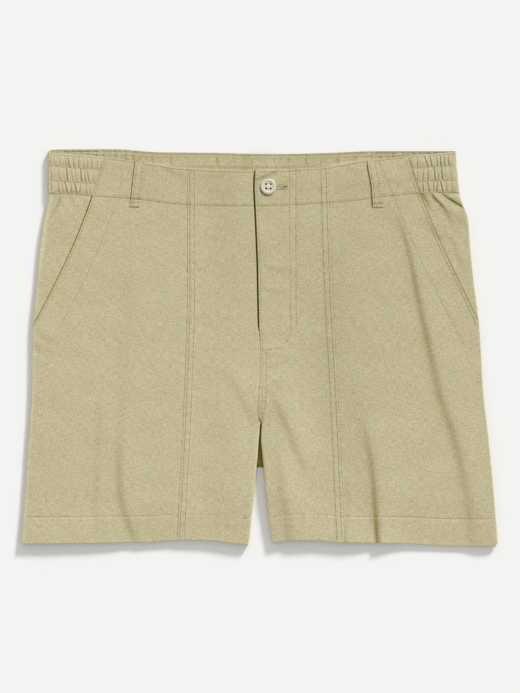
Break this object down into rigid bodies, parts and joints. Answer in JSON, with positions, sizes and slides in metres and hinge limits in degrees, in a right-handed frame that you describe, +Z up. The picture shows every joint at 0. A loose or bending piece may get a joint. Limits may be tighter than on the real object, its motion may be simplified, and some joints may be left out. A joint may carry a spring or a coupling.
{
  "type": "linen shorts",
  "caption": "Casual linen shorts laid flat, face up: buttoned fly, slant pockets, seamed front panels, elastic side waist, belt loops and turned hems",
  "frame": {"origin": "middle of the bounding box, on the ground", "axes": "+X to the right as the shorts lie face up, +Y towards the waist, +Z up from the ground"},
  "size_m": [0.5246, 0.4366, 0.0121],
  "materials": {
    "linen": "matte heathered plain weave",
    "zip_tape": "woven tape",
    "zip_metal": "dull",
    "button": "semi-gloss"
  },
  "bodies": {
    "root": {"front_side_left": "linen", "front_side_right": "linen", "front_centre_left": "linen", "front_centre_right": "linen", "hip_pocket_left": "linen", "hip_pocket_right": "linen", "back_left": "linen", "back_right": "linen", "waistband_elastic": "linen", "fly_facing": "linen", "belt_loop_left": "linen", "belt_loop_right": "linen", "belt_loop_back": "linen", "zip_tape": "zip_tape", "zip_slider": "zip_metal", "button": "button"}
  },
  "joints": []
}
